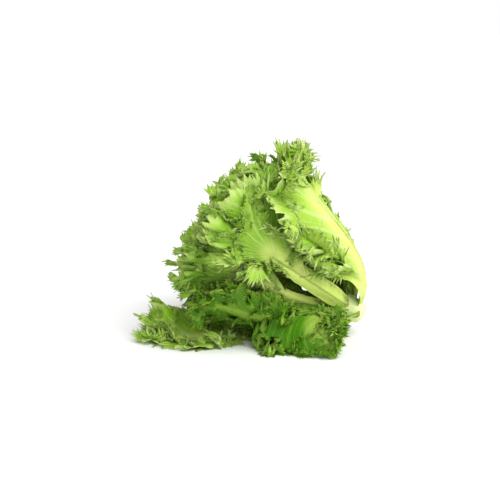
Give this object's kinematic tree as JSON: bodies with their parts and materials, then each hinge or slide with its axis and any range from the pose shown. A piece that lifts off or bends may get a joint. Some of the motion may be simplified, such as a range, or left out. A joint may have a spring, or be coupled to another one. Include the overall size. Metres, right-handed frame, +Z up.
{
  "type": "frilly iceberg lettuce",
  "caption": "Whole head of frilly iceberg lettuce lying on its side, with loose crisp leaves, deeply cut curly edges and pale ribs meeting at a short cut stem.",
  "frame": {"origin": "centre of the bounding box's footprint, on the surface the head lies on", "axes": "+Z up from the surface; the cut stem points towards +X and the leaf tips towards -X; -Y is the front, the side with the fallen leaves"},
  "size_m": [0.2396, 0.2208, 0.2061],
  "materials": {
    "stem": "moist pale cut stem, slightly browned where it was cut",
    "outer_leaf": "fresh crisp leaf, softly glossy, deep green at the frilled edge and pale yellow-green along the ribs",
    "middle_leaf": "fresh crisp leaf, softly glossy, bright green edge with a whitish rib",
    "inner_leaf": "tender pale yellow-green leaf, softly glossy"
  },
  "bodies": {
    "root": {"stem": "stem", "outer_leaf_01": "outer_leaf", "outer_leaf_02": "outer_leaf", "outer_leaf_03": "outer_leaf", "outer_leaf_04": "outer_leaf", "outer_leaf_05": "outer_leaf", "outer_leaf_06": "outer_leaf", "outer_leaf_07": "outer_leaf", "outer_leaf_08": "outer_leaf", "outer_leaf_09": "outer_leaf", "outer_leaf_10": "outer_leaf", "outer_leaf_11": "outer_leaf", "outer_leaf_12": "outer_leaf", "outer_leaf_13": "outer_leaf", "middle_leaf_01": "middle_leaf", "middle_leaf_02": "middle_leaf", "middle_leaf_03": "middle_leaf", "middle_leaf_04": "middle_leaf", "middle_leaf_05": "middle_leaf", "middle_leaf_06": "middle_leaf", "middle_leaf_07": "middle_leaf", "middle_leaf_08": "middle_leaf", "inner_leaf_01": "inner_leaf", "inner_leaf_02": "inner_leaf", "inner_leaf_03": "inner_leaf", "inner_leaf_04": "inner_leaf", "inner_leaf_05": "inner_leaf"}
  },
  "joints": []
}
